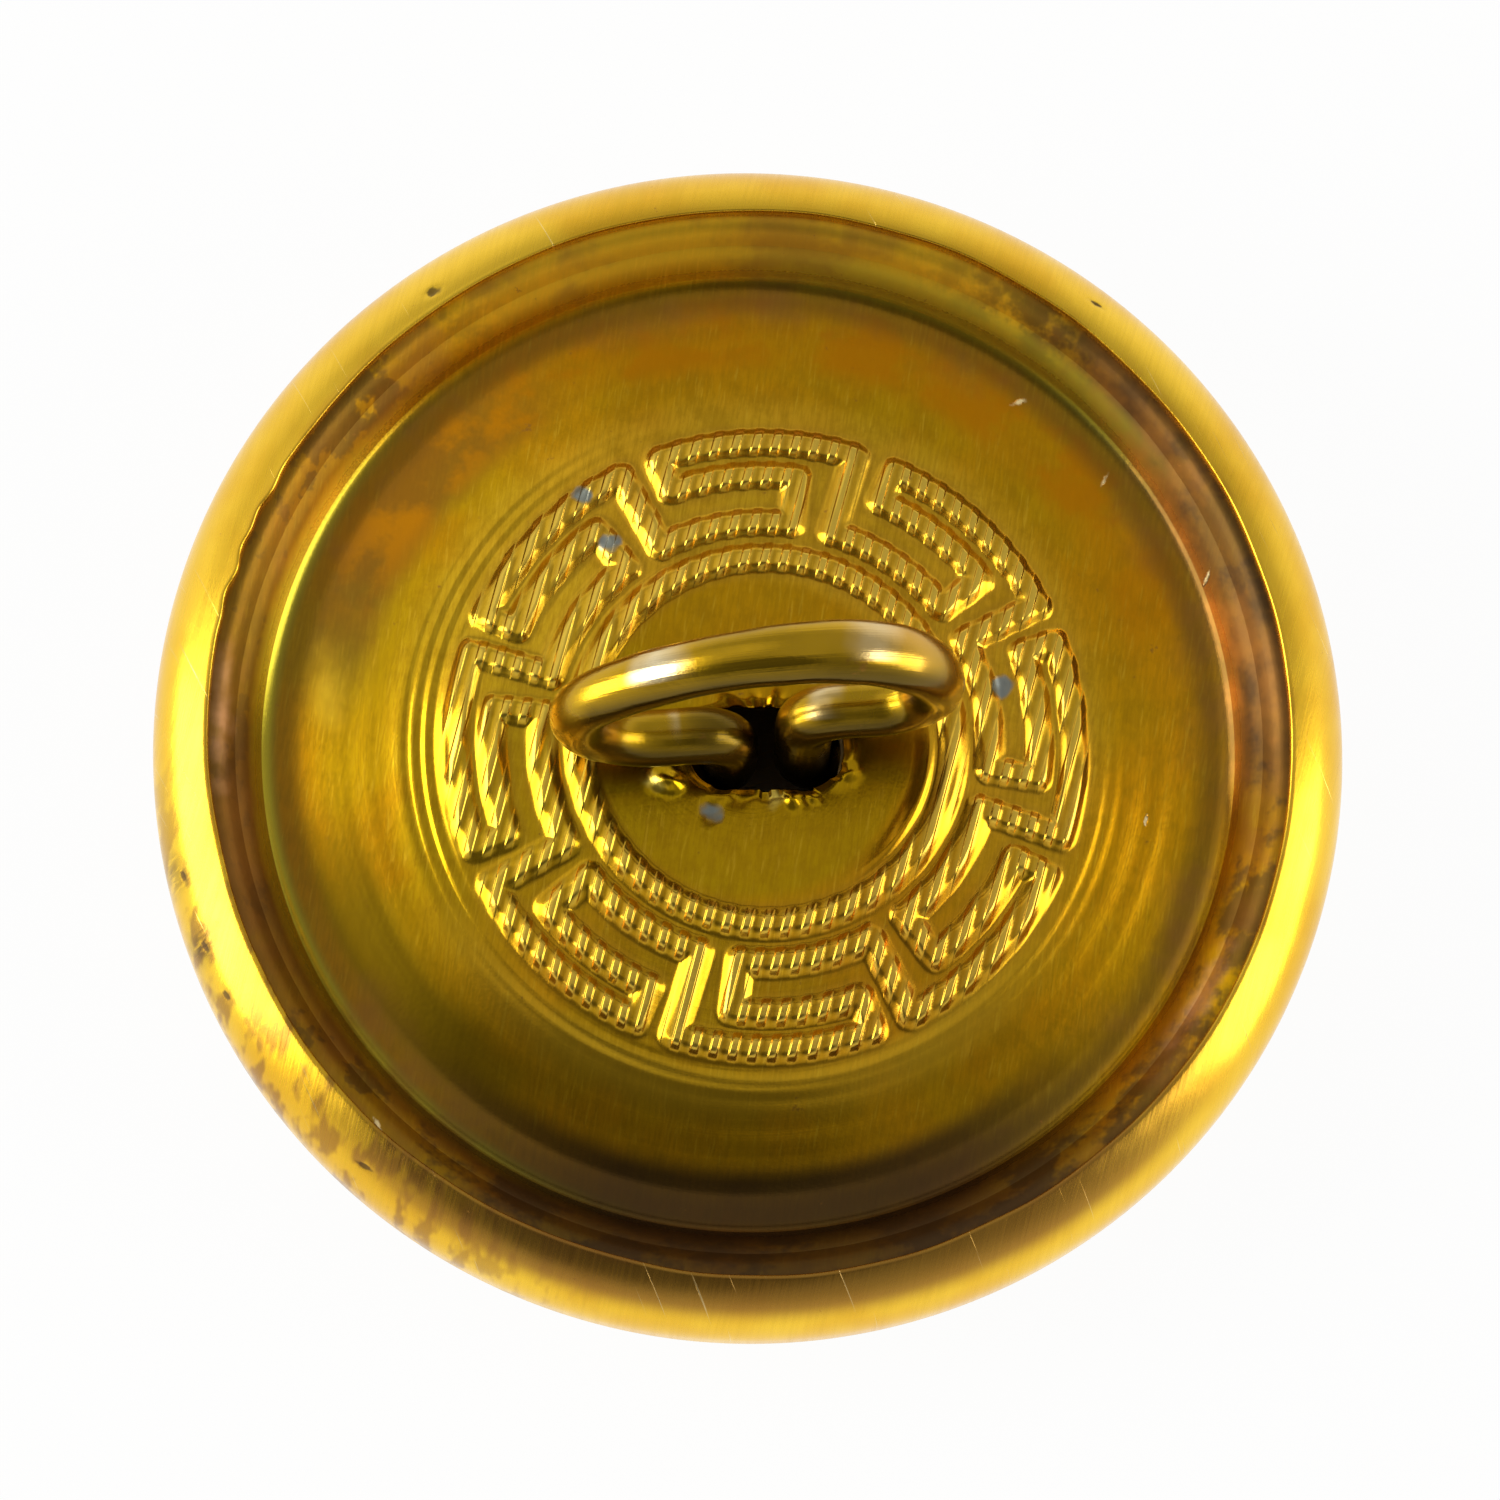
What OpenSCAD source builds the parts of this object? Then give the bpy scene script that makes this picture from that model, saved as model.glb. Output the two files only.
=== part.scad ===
// Two-piece metal shank button: a domed front shell whose edge is rolled over a stamped
// back plate, with a bent wire loop clinched through a slot in the plate.
// +Z points out of the back. The origin is the lowest point of the domed front.

/* [Front shell] */
// Outside radius of the button
button_r = 11.5; // [10.8:0.1:13]
// Radius that the domed front is curved to
dome_r = 30; // [24:1:60]
// Radius of the shoulder between the dome and the side wall
shoulder_r = 1.3; // [0.8:0.1:1.8]
// Sheet thickness of the shell
shell_t = 0.35; // [0.25:0.01:0.4]
// Height of the crest of the rolled edge
crest_z = 4.8; // [4.6:0.1:5.2]
// Width of the rolled edge, from its crest out to the side wall
roll_w = 1.0; // [0.8:0.05:1.2]
// Height of the rolled edge, from the side wall up to its crest
roll_h = 1.45; // [1.2:0.05:1.5]

/* [Back plate] */
// Sheet thickness of the plate
plate_t = 0.35; // [0.25:0.01:0.4]
// Radius of the flat disc in the middle
disc_r = 3.4; // [3:0.1:3.5]
// Height of the flat disc
disc_z = 4.64; // [4.6:0.01:4.8]
// Radius at which the crown steepens, just outside the ornament
crown_r = 6.7; // [6.5:0.1:7]
// Height of the crown there
crown_z = 4.06; // [4:0.01:4.2]
// Radius of the bottom of the gutter inside the rim
gutter_r = 9.05; // [8.9:0.05:9.2]
// Height of the bottom of the gutter
gutter_z = 3.4; // [3.35:0.01:3.5]
// Overall length of the slot for the two legs of the loop
slot_l = 3; // [2.8:0.05:3.2]
// Overall width of the slot
slot_w = 1.6; // [1.5:0.05:1.8]
// How far the slot, the loop and the washer lie from the ornament's middle, along Y
slot_y = -0.15; // [-0.3:0.05:0]

/* [Struck ornament] */
// How far the ornament and the slot lie off the button's centre
struck_x = 0.3; // [0:0.05:0.4]
// Repeats of the key pattern round the plate
key_count = 8; // [6:1:12]
// Direction of the first radial bar
key_phase = 27.5; // [0:0.5:45]
// Width of the raised ribbon
ribbon_w = 0.46; // [0.35:0.01:0.5]
// How far the ornament stands above the plate
relief_h = 0.16; // [0.08:0.01:0.25]
// Mid radius of the outer row of the key pattern
outer_row_r = 5.96; // [5.9:0.01:6.1]
// Mid radius of the middle row
middle_row_r = 5.28; // [5.2:0.01:5.3]
// Mid radius of the inner row
inner_row_r = 4.32; // [4.2:0.01:4.4]
// Mid radius of the border ring
border_r = 3.6; // [3.5:0.01:3.7]

/* [Loop shank] */
// Diameter of the wire
wire_d = 1.1; // [0.9:0.05:1.1]
// Distance from the slot's centre to the middle of each leg
leg_s = 0.7; // [0.6:0.01:0.75]
// Radius of the tight bends at the legs, on the wire's centre line
bend_r = 0.75; // [0.6:0.01:0.8]
// Height of the left-hand run above the flat disc
left_run_u = 1.05; // [0.8:0.05:1.6]
// Height of the right-hand run above the flat disc
right_run_u = 2; // [1.8:0.05:2.6]
// Radius of the left-hand end of the loop
left_end_r = 1.7; // [1.5:0.05:1.9]
// Distance of the left-hand end's centre from the slot's centre
left_end_s = 1.95; // [1.9:0.05:2.1]
// Radius of the lower right-hand bend
right_low_r = 1.2; // [1:0.05:1.3]
// Radius of the upper right-hand bend
right_top_r = 2.45; // [2:0.05:2.6]
// Distance of the upper right-hand bend's centre from the slot's centre
right_top_s = 0.72; // [0.6:0.02:1]
// Angle that the loop leans back from upright
lean = 6.6; // [0:0.1:8]
// Angle that the loop is turned in the slot at rest
yaw = 4; // [-20:1:20]
// Distance from the slot's centre to the end of each foot
foot_s = 3; // [2.6:0.1:3.4]

/* [Inner pieces] */
// Outside radius of the washer under the feet
washer_r = 3; // [2.6:0.1:3.4]
// Thickness of the washer
washer_t = 0.35; // [0.3:0.01:0.4]
// Radius of the hole in the washer
washer_hole_r = 1.45; // [1.4:0.01:1.6]
// Outside radius of the filler board
board_r = 10.4; // [9.8:0.1:10.5]
// Radius of the hole in the filler board
board_hole_r = 4.2; // [4:0.1:5]
// Height of the filler board's upper face
board_z = 2.98; // [2.8:0.01:3]

/* [Hidden] */
$fn = 96;
// Clearance between pieces that bear on each other
fit_gap = 0.02;
wire_r = wire_d / 2;
// Flat sides round the wire
wire_sides = 18;
roll_c = button_r - roll_w;
roll_z = crest_z - roll_h;
// Where the rolled edge stops, as an angle round its own centre
lip_end = 93;
shoulder_c = button_r - shoulder_r;
shoulder_z = dome_r - sqrt(pow(dome_r - shoulder_r, 2) - pow(shoulder_c, 2));
shoulder_start = atan2(shoulder_z - dome_r, shoulder_c);
flange_w = roll_w - shell_t - fit_gap;
flange_h = roll_h - shell_t - fit_gap;
flange_end = 15;
key_pitch = 360 / key_count;
// Where the two short bars of a key stand, as shares of its pitch
outer_bar_at = 0.17;
inner_bar_at = 0.77;
washer_top = disc_z - plate_t - fit_gap;
foot_z = washer_top - washer_t - fit_gap - wire_r;
foot_u = (foot_z - disc_z) / cos(lean) - fit_gap;
top_u = right_run_u + right_low_r + right_top_r;
left_end_u = left_run_u + left_end_r;
// The long arch joins the left-hand end to the top and is level at the top
arch_s = left_end_s + right_top_s;
arch_u = top_u - left_end_u;
arch_r = (arch_s * arch_s + arch_u * arch_u - left_end_r * left_end_r)
    / (2 * (arch_u - left_end_r));
arch_start = atan2(left_end_u - top_u + arch_r, -arch_s);

// Points of an ellipse's arc about (r, z), from angle a0 to a1
function arc(r, z, w, h, a0, a1, steps = 16) =
    [for (i = [0:steps]) let (a = a0 + (a1 - a0) * i / steps) [r + w * cos(a), z + h * sin(a)]];

// The same list of points in the other order
function back(points) = [for (i = [len(points) - 1:-1:0]) points[i]];

// The same list of points, raised
function raised(points, dz) = [for (p = points) [p[0], p[1] + dz]];

// The shell's outline at a given depth below its outer face, from the axis to the lip
function shell_line(depth) = concat(
    arc(0, dome_r, dome_r - depth, dome_r - depth, -90, shoulder_start),
    arc(shoulder_c, shoulder_z, shoulder_r - depth, shoulder_r - depth, shoulder_start, 0),
    arc(roll_c, roll_z, roll_w - depth, roll_h - depth, 0, lip_end)
);

// The plate's upper face from the axis out to the top of the gutter's wall
plate_face = concat(
    [[0, disc_z], [disc_r, disc_z], [crown_r, crown_z]],
    arc(gutter_r - 0.25, gutter_z + 0.5, 0.5, 0.5, -112, -90, 4),
    arc(gutter_r, gutter_z + 0.6, 0.6, 0.6, -90, -44, 6),
    arc(roll_c - 0.12, roll_z + flange_h - 0.35, 0.35, 0.35, 136, 90, 5)
);

// The part of the plate's face that carries the ornament
ornament_face = [[3, disc_z], [disc_r, disc_z], [crown_r, crown_z]];

module front_shell() {
    color("goldenrod")
    rotate_extrude()
    polygon(concat(shell_line(0), back(shell_line(shell_t))));
}

// A flat sector of a ring, running clockwise from share a to share b of one key
module key_row(r, a, b) {
    intersection() {
        difference() {
            circle(r + ribbon_w / 2);
            circle(r - ribbon_w / 2);
        }
        polygon(concat([[0, 0]], [for (i = [0:6])
            let (t = -key_pitch * (a + (b - a) * i / 6)) 8 * [cos(t), sin(t)]]));
    }
}

// A radial bar between two rows, at share a of one key
module key_bar(r0, r1, a) {
    rotate(-key_pitch * a)
    translate([r0 - ribbon_w / 2 + 0.03, -ribbon_w / 2])
    square([r1 - r0 + ribbon_w - 0.06, ribbon_w]);
}

module key() {
    key_row(inner_row_r, 0, inner_bar_at);
    key_row(middle_row_r, outer_bar_at, inner_bar_at);
    key_row(outer_row_r, outer_bar_at, 1);
    key_bar(inner_row_r, outer_row_r, 0);
    key_bar(inner_row_r, middle_row_r, inner_bar_at);
    key_bar(middle_row_r, outer_row_r, outer_bar_at);
}

// The whole ornament seen from above
module ornament() {
    for (i = [0:key_count - 1]) rotate(key_phase + i * key_pitch) key();
    difference() {
        circle(border_r + ribbon_w / 2);
        circle(border_r - ribbon_w / 2);
    }
}

// The slot for the two legs, seen from above
module slot() {
    hull()
    for (side = [-1, 1])
        translate([side * (slot_l - slot_w) / 2, 0])
        circle(slot_w / 2);
}

module back_plate() {
    color("darkgoldenrod")
    difference() {
        union() {
            rotate_extrude()
            polygon(concat(
                plate_face,
                arc(roll_c, roll_z, flange_w, flange_h, 88, flange_end),
                arc(roll_c, roll_z, flange_w - plate_t, flange_h - plate_t, flange_end, 88),
                raised(back(plate_face), -plate_t)
            ));
            intersection() {
                translate([struck_x, 0, 0])
                linear_extrude(crest_z + 1)
                ornament();
                rotate_extrude()
                polygon(concat(
                    raised(ornament_face, relief_h),
                    raised(back(ornament_face), -plate_t / 2)
                ));
            }
        }
        translate([struck_x, slot_y, 0])
        linear_extrude(2 * crest_z)
        slot();
    }
}

// Stations along a bend of the wire in the loop's plane: [s, u, heading], from angle a0 to a1
// about (s, u). The heading is the direction of travel, as an angle from the loop's width
function bend(s, u, r, a0, a1, steps) =
    [for (i = [0:steps])
        let (a = a0 + (a1 - a0) * i / steps)
        [s + r * cos(a), u + r * sin(a), a + (a1 > a0 ? 90 : -90)]];

// A bend without its first station, for one that starts where the last bend ended
function bend_on(s, u, r, a0, a1, steps) =
    [for (i = [1:steps]) bend(s, u, r, a0, a1, steps)[i]];

// Stations from the end of the left foot, up, round the loop and down to the end of the right foot
out_s = leg_s + bend_r;
low_u = foot_u + bend_r;
stations = concat(
    [[-foot_s, foot_u, 0]],
    bend(-out_s, low_u, bend_r, 270, 360, 6),
    bend(-out_s, left_run_u - bend_r, bend_r, 0, 90, 6),
    bend(-left_end_s, left_end_u, left_end_r, 270, arch_start, 10),
    bend_on(right_top_s, top_u - arch_r, arch_r, arch_start, 90, 7),
    bend_on(right_top_s, top_u - right_top_r, right_top_r, 90, 0, 8),
    bend_on(right_top_s + right_top_r - right_low_r, right_run_u + right_low_r,
        right_low_r, 0, -90, 6),
    bend(out_s, right_run_u - bend_r, bend_r, 90, 180, 6),
    bend(out_s, low_u, bend_r, 180, 270, 6),
    [[foot_s, foot_u, 0]]
);

// The wire, with one ring of points round it at each station
module wire() {
    last = len(stations) - 1;
    points = [for (p = stations, k = [0:wire_sides - 1])
        let (t = 360 * k / wire_sides)
        [
            p[0] - wire_r * cos(t) * sin(p[2]),
            wire_r * sin(t),
            p[1] + wire_r * cos(t) * cos(p[2])
        ]];
    sides = [for (i = [0:last - 1], k = [0:wire_sides - 1])
        let (a = i * wire_sides + k, b = i * wire_sides + (k + 1) % wire_sides)
        each [[a, a + wire_sides, b], [b, a + wire_sides, b + wire_sides]]];
    first_end = [for (k = [0:wire_sides - 1]) k];
    last_end = [for (k = [wire_sides - 1:-1:0]) last * wire_sides + k];
    polyhedron(points, concat(sides, [first_end, last_end]));
}

module wire_shank() {
    color("gold")
    translate([struck_x, slot_y, disc_z])
    rotate([0, 0, yaw])
    rotate([-lean, 0, 0])
    wire();
}

module anchor_washer() {
    color("silver")
    translate([struck_x, slot_y, washer_top - washer_t])
    difference() {
        cylinder(h = washer_t, r = washer_r);
        translate([0, 0, -1])
        cylinder(h = washer_t + 2, r = washer_hole_r);
    }
}

module filler_board() {
    board_bottom_r = dome_r - shell_t - fit_gap;
    color("tan")
    rotate_extrude()
    polygon(concat(
        arc(0, dome_r, board_bottom_r, board_bottom_r,
            -acos(board_hole_r / board_bottom_r), -acos(board_r / board_bottom_r)),
        [[board_r, board_z], [board_hole_r, board_z]]
    ));
}

front_shell();
back_plate();
wire_shank();
anchor_washer();
filler_board();
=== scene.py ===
"""A brass shank button lying on its domed front: fine shapes, finishes, floor, light and camera.

Lengths are in millimetres until a mesh is made. +X is to the right and +Y is up as the camera
sees the button, and +Z points out of its back.
"""
import math

import bpy
import numpy as np
from mathutils import Matrix, Vector

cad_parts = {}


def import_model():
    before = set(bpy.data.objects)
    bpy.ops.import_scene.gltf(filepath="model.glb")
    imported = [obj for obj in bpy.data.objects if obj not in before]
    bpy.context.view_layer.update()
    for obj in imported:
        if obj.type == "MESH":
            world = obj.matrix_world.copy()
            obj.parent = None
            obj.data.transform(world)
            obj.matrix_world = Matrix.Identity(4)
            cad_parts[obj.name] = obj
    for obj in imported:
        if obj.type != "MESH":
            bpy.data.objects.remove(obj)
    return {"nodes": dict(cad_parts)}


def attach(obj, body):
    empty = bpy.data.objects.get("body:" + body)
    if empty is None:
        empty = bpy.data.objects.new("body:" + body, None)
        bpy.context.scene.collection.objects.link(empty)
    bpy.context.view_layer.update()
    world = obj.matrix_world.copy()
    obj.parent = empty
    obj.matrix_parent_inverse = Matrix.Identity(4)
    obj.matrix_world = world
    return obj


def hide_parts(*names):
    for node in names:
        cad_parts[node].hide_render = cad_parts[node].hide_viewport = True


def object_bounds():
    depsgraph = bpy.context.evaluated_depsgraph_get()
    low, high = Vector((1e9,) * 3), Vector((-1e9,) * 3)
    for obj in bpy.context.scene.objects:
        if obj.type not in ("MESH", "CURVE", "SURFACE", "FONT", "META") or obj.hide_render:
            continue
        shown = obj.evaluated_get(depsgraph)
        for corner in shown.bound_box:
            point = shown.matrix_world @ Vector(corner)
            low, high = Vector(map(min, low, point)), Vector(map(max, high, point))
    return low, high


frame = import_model()
cad_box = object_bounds()

MM = 0.001

# Sizes shared with the construction model
BUTTON_R = 11.5
DOME_R = 30.0
SHOULDER_R = 1.3
SHEET_T = 0.35
CREST_Z = 4.8
ROLL_W = 1.0
ROLL_H = 1.45
LIP_END = 93.0
DISC_R = 3.4
DISC_Z = 4.64
CROWN_R = 6.7
CROWN_Z = 4.06
GUTTER_R = 9.05
GUTTER_Z = 3.4
SLOT_L = 3.0
SLOT_W = 1.6
SLOT_Y = -0.15
STRUCK_X = 0.3
KEY_COUNT = 8
KEY_PHASE = 27.5
RIBBON_W = 0.46
RELIEF_H = 0.16
OUTER_ROW_R = 5.96
MIDDLE_ROW_R = 5.28
INNER_ROW_R = 4.32
BORDER_R = 3.6
OUTER_BAR_AT = 0.17
INNER_BAR_AT = 0.77
WIRE_D = 1.1
LEG_S = 0.7
BEND_R = 0.75
LEFT_RUN_U = 1.05
RIGHT_RUN_U = 2.0
LEFT_END_R = 1.7
LEFT_END_S = 1.95
RIGHT_LOW_R = 1.2
RIGHT_TOP_R = 2.45
RIGHT_TOP_S = 0.72
LEAN = 6.6
YAW = 4.0
FOOT_S = 3.0
WASHER_T = 0.35
FIT_GAP = 0.02

ROLL_C = BUTTON_R - ROLL_W
ROLL_Z = CREST_Z - ROLL_H
FLANGE_W = ROLL_W - SHEET_T - FIT_GAP
FLANGE_H = ROLL_H - SHEET_T - FIT_GAP
FLANGE_END = 15.0

# The outer face of the rolled edge, pressed to a slope that falls from the lip
FACE_W = 1.9
FACE_C = BUTTON_R - FACE_W
FACE_H = 1.63
FACE_END = 62.7

# The direction of the knurling on the die and of the polishing strokes, from +X
KNURL_ANGLE = 75.0
KNURL_PITCH = 0.37
KNURL_DEPTH = 0.04
# How far a ribbon's side slopes out and in from its nominal edge
RIBBON_FOOT = 0.11
RIBBON_BROW = 0.13


# ---- mesh helpers

def arc(r, z, w, h, a0, a1, steps=16):
    """Points of an ellipse's arc about (r, z), from angle a0 to a1."""
    a = np.radians(np.linspace(a0, a1, steps + 1))
    return np.stack([r + w * np.cos(a), z + h * np.sin(a)], axis=1)


def lengths(points):
    """The distance along a line to each of its points."""
    return np.concatenate([[0.0], np.cumsum(np.hypot(*np.diff(points, axis=0).T))])


def spaced(points, spacing):
    """The same line with points at an even spacing along it."""
    along = lengths(points)
    count = max(2, int(round(along[-1] / spacing)) + 1)
    at = np.linspace(0.0, along[-1], count)
    return np.stack([np.interp(at, along, points[:, k]) for k in (0, 1)], axis=1)


def smooth(edge0, edge1, x):
    """A smooth step from 0 at edge0 to 1 at edge1."""
    t = np.clip((x - edge0) / (edge1 - edge0), 0.0, 1.0)
    return t * t * (3.0 - 2.0 * t)


def hump(x, centre, half_width):
    """A smooth bump of height 1 about a centre."""
    return smooth(half_width, 0.0, np.abs(x - centre))


def turn_between(angle, centre, half_width):
    """A bump of height 1 about a direction, all angles in degrees."""
    off = (angle - centre + 180.0) % 360.0 - 180.0
    return smooth(half_width, 0.0, np.abs(off))


def waves(angle, seed, lowest, highest):
    """An even mix of sine waves round the button, between -1 and 1 or so."""
    rng = np.random.default_rng(seed)
    orders = np.arange(lowest, highest + 1)
    starts = rng.uniform(0.0, 2.0 * math.pi, len(orders))
    total = sum(np.sin(k * np.radians(angle) + s) for k, s in zip(orders, starts))
    return total / math.sqrt(len(orders))


def at_turn(r, angle, z):
    """The place at a radius, direction and height."""
    a = math.radians(angle)
    return (r * math.cos(a), r * math.sin(a), z)


def skin(name, rings, caps=False, loop=False, facts=None):
    """A closed mesh from rings of points in mm. caps closes each end with a fan to its middle;
    loop joins the last ring to the first. facts holds one value a point for named attributes."""
    count, around = rings.shape[:2]
    points = rings.reshape(-1, 3)
    i, j = np.meshgrid(np.arange(count if loop else count - 1), np.arange(around), indexing="ij")
    i2 = (i + 1) % count
    j2 = (j + 1) % around
    quads = np.stack([i * around + j, i * around + j2, i2 * around + j2, i2 * around + j], axis=-1)
    faces = quads.reshape(-1, 4).tolist()
    if caps:
        middle = len(points)
        points = np.vstack([points, rings[0].mean(axis=0), rings[-1].mean(axis=0)])
        last = (count - 1) * around
        for k in range(around):
            after = (k + 1) % around
            faces.append([after, k, middle])
            faces.append([last + k, last + after, middle + 1])
    mesh = bpy.data.meshes.new(name)
    mesh.from_pydata((points * MM).tolist(), [], faces)
    for key, values in (facts or {}).items():
        layer = mesh.attributes.new(key, "FLOAT", "POINT")
        flat = np.zeros(len(points), dtype=np.float32)
        flat[:values.size] = values.reshape(-1)
        layer.data.foreach_set("value", flat)
    mesh.polygons.foreach_set("use_smooth", np.ones(len(mesh.polygons), dtype=bool))
    if signed_volume(mesh) < 0:
        mesh.flip_normals()
    mesh.update()
    obj = bpy.data.objects.new(name, mesh)
    bpy.context.scene.collection.objects.link(obj)
    return obj


def signed_volume(mesh):
    """Volume of a closed mesh, negative if it is inside out."""
    mesh.calc_loop_triangles()
    corners = np.empty(len(mesh.loop_triangles) * 3, dtype=np.int32)
    mesh.loop_triangles.foreach_get("vertices", corners)
    places = np.empty(len(mesh.vertices) * 3, dtype=np.float32)
    mesh.vertices.foreach_get("co", places)
    p = places.reshape(-1, 3)[corners].reshape(-1, 3, 3).astype(float)
    return float(np.einsum("ij,ij->", p[:, 0], np.cross(p[:, 1], p[:, 2]))) / 6.0


# ---- front shell

SHELL_AROUND = 540
# Radius of the innermost ring, which a fan closes
POLE_R = 0.05
# How far the roll's arc varies, in degrees: broad waves, finer ones and the ragged part of the
# lip, with that part's direction and half width
LIP_BROAD = 0.9
LIP_FINE = 0.3
LIP_RAGGED = 2.0
RAGGED_PART = (156, 16)
# How much lower the face is pressed on one side, and where
LOW_DROP = 0.10
LOW_PART = (322, 40)
# How far the cut edge of the lip bulges inward, and how square it is
LIP_BULGE = 0.07
LIP_SQUARE = 0.6
# How much thinner the sheet is drawn at the rim than in the middle
DRAWN_THIN = 0.9


def shell_outer():
    """Outline of the shell's outer face, from near the axis to its widest point."""
    shoulder_c = BUTTON_R - SHOULDER_R
    shoulder_z = DOME_R - math.sqrt((DOME_R - SHOULDER_R) ** 2 - shoulder_c ** 2)
    shoulder_start = math.degrees(math.atan2(shoulder_z - DOME_R, shoulder_c))
    pole = math.degrees(math.asin(POLE_R / DOME_R))
    return np.vstack([
        arc(0, DOME_R, DOME_R, DOME_R, -90 + pole, shoulder_start, 40)[:-1],
        arc(shoulder_c, shoulder_z, SHOULDER_R, SHOULDER_R, shoulder_start, 0, 14),
    ])


def front_shell():
    """The domed front with its edge rolled over the plate, the lip cut a little unevenly."""
    angle = np.arange(SHELL_AROUND) * 360.0 / SHELL_AROUND
    outer = shell_outer()
    rings = [lathe_ring(r, z, angle) for r, z in outer]
    # The lip stops a little early or late as it goes round, and is ragged at the upper left
    uneven = LIP_BROAD * waves(angle, 3, 2, 7) + LIP_FINE * waves(angle, 5, 12, 30)
    ragged = LIP_RAGGED * waves(angle, 8, 40, 75) * turn_between(angle, *RAGGED_PART)
    past = uneven + ragged
    low = LOW_DROP * turn_between(angle, *LOW_PART)
    face = [face_ring(angle, share, past, low) for share in np.linspace(0.02, 1.0, 34)]
    inside = [inside_ring(angle, share, past, low) for share in np.linspace(1.0, 0.0, 16)]
    rings += face
    for t in np.radians(np.linspace(20, 160, 8)):
        down = (1.0 - math.copysign(abs(math.cos(t)) ** LIP_SQUARE, math.cos(t))) / 2.0
        edge = face[-1] * (1.0 - down) + inside[0] * down
        inward = LIP_BULGE * math.sin(t) ** 0.7 / ROLL_C
        rings.append(edge * np.array([1.0 - inward, 1.0 - inward, 1.0]))
    rings += inside
    lining = outer[::-3]
    for r, z in lining:
        inner_r = r * (1 - SHEET_T / BUTTON_R)
        up = SHEET_T * (1 - DRAWN_THIN * (r / BUTTON_R) ** 6)
        rings.append(lathe_ring(inner_r, z + up, angle))
    rings, dirt_and_shade = dented(np.array(rings))
    # The inside of the shell was never polished
    raw = np.zeros(dirt_and_shade.shape)
    raw[-len(lining) - len(inside):] = 1.0
    return skin("front_shell_rolled", rings, caps=True, facts={"dirt_and_shade": dirt_and_shade, "raw": raw})


def lathe_ring(r, z, angle):
    """One ring of points about the button's axis, its radius and height even or one a point."""
    a = np.radians(angle)
    return np.stack([r * np.cos(a), r * np.sin(a), np.zeros_like(a) + z], axis=1)


def face_ring(angle, share, past, low):
    """One ring on the rolled edge's outer face, a share of the way from the side to the lip."""
    a = np.radians((FACE_END + past) * share)
    return lathe_ring(FACE_C + FACE_W * np.cos(a), ROLL_Z + (FACE_H - low) * np.sin(a), angle)


def inside_ring(angle, share, past, low):
    """One ring on the inner face of the rolled edge, next to the plate's flange."""
    a = np.radians((LIP_END + 2.0 * past) * share)
    r = ROLL_C + (ROLL_W - SHEET_T) * np.cos(a)
    return lathe_ring(r, ROLL_Z + (ROLL_H - SHEET_T - 0.3 * low) * np.sin(a), angle)


# Nicks in the rolled edge: direction and radius, then length, width and depth
RIM_NICKS = [
    (193.4, 11.2, 0.8, 0.09, 0.025),
    (200.8, 11.2, 0.8, 0.09, 0.025),
    (206.0, 11.2, 0.6, 0.08, 0.02),
    (124.5, 10.75, 0.45, 0.12, 0.05),
    (228.0, 11.1, 0.5, 0.07, 0.03),
    (52.0, 11.0, 0.35, 0.07, 0.03),
]
# The nicks' direction, from +X, and the share of their depth that goes toward the axis
NICK_SLANT = KNURL_ANGLE + 80
NICK_INWARD = 0.7


def dented(rings):
    """The rings with nicks pressed in across the rolled edge, and a mask of the nicks, which the
    finish dulls and paints dark as shade in them.
    """
    out = rings.copy()
    dirt_and_shade = np.zeros(rings.shape[:2])
    line = np.array(at_turn(1.0, NICK_SLANT, 0.0))
    for where, r, length, width, depth in RIM_NICKS:
        a = math.radians(where)
        z = ROLL_Z + FACE_H * math.sqrt(1.0 - ((r - FACE_C) / FACE_W) ** 2)
        centre = np.array(at_turn(r, where, z))
        off = rings - centre
        along = off @ line
        across = np.linalg.norm(off - along[..., None] * line, axis=-1)
        cut = smooth(length / 2, 0.0, np.abs(along)) * smooth(width, 0.0, across)
        dirt_and_shade = np.maximum(dirt_and_shade, cut)
        press = depth * cut
        out[..., 2] -= press
        out[..., 0] -= press * NICK_INWARD * math.cos(a)
        out[..., 1] -= press * NICK_INWARD * math.sin(a)
    return out, dirt_and_shade


# ---- back plate

def plate_line():
    """The plate's upper face from the axis to the end of the flange, as even points."""
    line = np.vstack([
        [[0.0, DISC_Z], [DISC_R, DISC_Z], [CROWN_R, CROWN_Z]],
        arc(GUTTER_R - 0.25, GUTTER_Z + 0.5, 0.5, 0.5, -112, -90, 4),
        arc(GUTTER_R, GUTTER_Z + 0.6, 0.6, 0.6, -90, -44, 8),
        arc(ROLL_C - 0.12, ROLL_Z + FLANGE_H - 0.35, 0.35, 0.35, 136, 90, 8),
        arc(ROLL_C, ROLL_Z, FLANGE_W, FLANGE_H, 88, FLANGE_END, 16),
    ])
    fine = spaced(line, 0.02)
    # A short moving average rounds the bends. The line is mirrored past the axis for it
    reach = 8
    kernel = np.hanning(2 * reach + 1)
    kernel /= kernel.sum()
    padded = np.pad(fine, ((reach, reach), (0, 0)), mode="edge")
    padded[:reach, 0] = -fine[reach:0:-1, 0]
    return np.stack([np.convolve(padded[:, k], kernel, mode="valid") for k in (0, 1)], axis=1)


# One key's ribbons. Rows run round at a radius between two shares of the pitch, and bars run
# out between two radii at a share of the pitch
KEY_ROWS = [
    (INNER_ROW_R, 0.0, INNER_BAR_AT),
    (MIDDLE_ROW_R, OUTER_BAR_AT, INNER_BAR_AT),
    (OUTER_ROW_R, OUTER_BAR_AT, 1.0),
]
KEY_BARS = [
    (INNER_ROW_R, OUTER_ROW_R, 0.0),
    (INNER_ROW_R, MIDDLE_ROW_R, INNER_BAR_AT),
    (MIDDLE_ROW_R, OUTER_ROW_R, OUTER_BAR_AT),
]


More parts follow.
